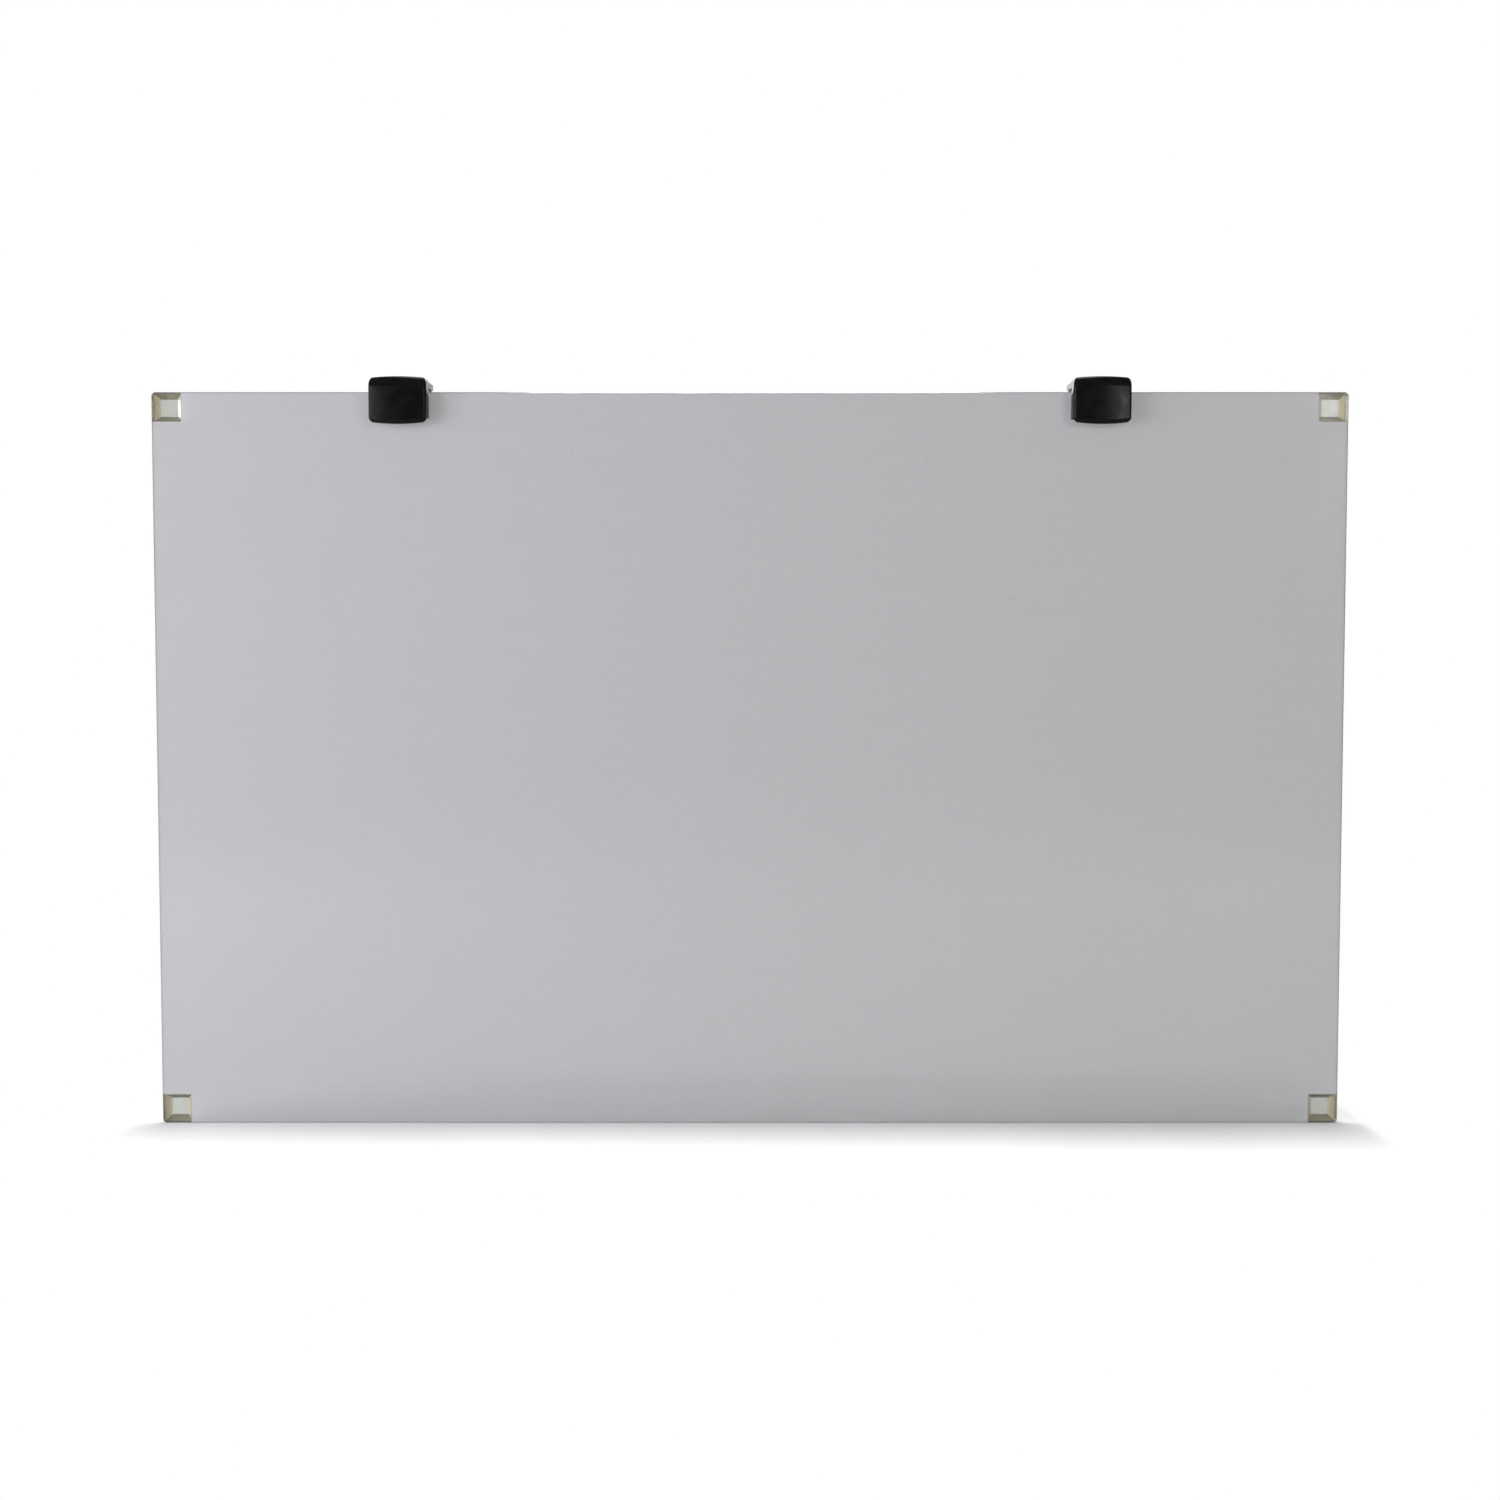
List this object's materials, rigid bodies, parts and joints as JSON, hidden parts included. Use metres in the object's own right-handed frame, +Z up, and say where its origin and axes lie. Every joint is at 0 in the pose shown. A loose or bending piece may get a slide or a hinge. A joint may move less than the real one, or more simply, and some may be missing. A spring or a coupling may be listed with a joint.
{
  "type": "monitor privacy filter",
  "caption": "Hang-on privacy filter sheet for a wide desktop monitor, with hook-over hangers on its top edge and corner bumpers on its back.",
  "frame": {"origin": "the middle of the monitor's top front edge: X = 0 halfway along the sheet, Y = 0 in the plane of the bumpers' tips, Z = 0 in the plane of the seat pads' undersides", "axes": "+X to the viewer's right along the sheet, +Y back over the monitor, +Z up; the sheet hangs upright below the origin with its front facing -Y"},
  "size_m": [0.52, 0.0238, 0.3271],
  "materials": {
    "tinted_acrylic": "satin",
    "clear_bumper": "satin",
    "black_cap": "satin",
    "translucent_clip": "satin",
    "seat_foam": "matte"
  },
  "bodies": {
    "root": {"filter_panel": "tinted_acrylic", "bumper_top_left": "clear_bumper", "bumper_top_right": "clear_bumper", "bumper_bottom_left": "clear_bumper", "bumper_bottom_right": "clear_bumper", "hanger_cap_left": "black_cap", "hanger_cap_right": "black_cap", "hanger_clip_left": "translucent_clip", "hanger_clip_right": "translucent_clip", "seat_pad_left": "seat_foam", "seat_pad_right": "seat_foam"}
  },
  "joints": []
}
